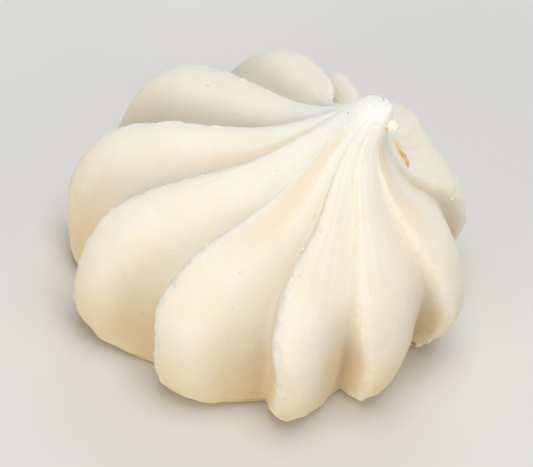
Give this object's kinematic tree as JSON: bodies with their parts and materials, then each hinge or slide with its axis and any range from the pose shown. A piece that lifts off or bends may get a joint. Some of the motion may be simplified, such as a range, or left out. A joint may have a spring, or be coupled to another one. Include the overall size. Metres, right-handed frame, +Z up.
{
  "type": "meringue cookie",
  "caption": "Round piped meringue cookie with uneven swirled ribs that sweep up from a flat foot and draw together into a blunt, leaning peak.",
  "frame": {"origin": "middle of the cookie's bounding box, on the flat foot it was baked on", "axes": "+Z up from the foot to the peak; +X towards the side that the peak leans to; -Y towards the shown front"},
  "size_m": [0.0494, 0.0478, 0.036],
  "materials": {
    "meringue": "matte, dry baked meringue crust, warm ivory"
  },
  "bodies": {
    "root": {"meringue": "meringue"}
  },
  "joints": []
}
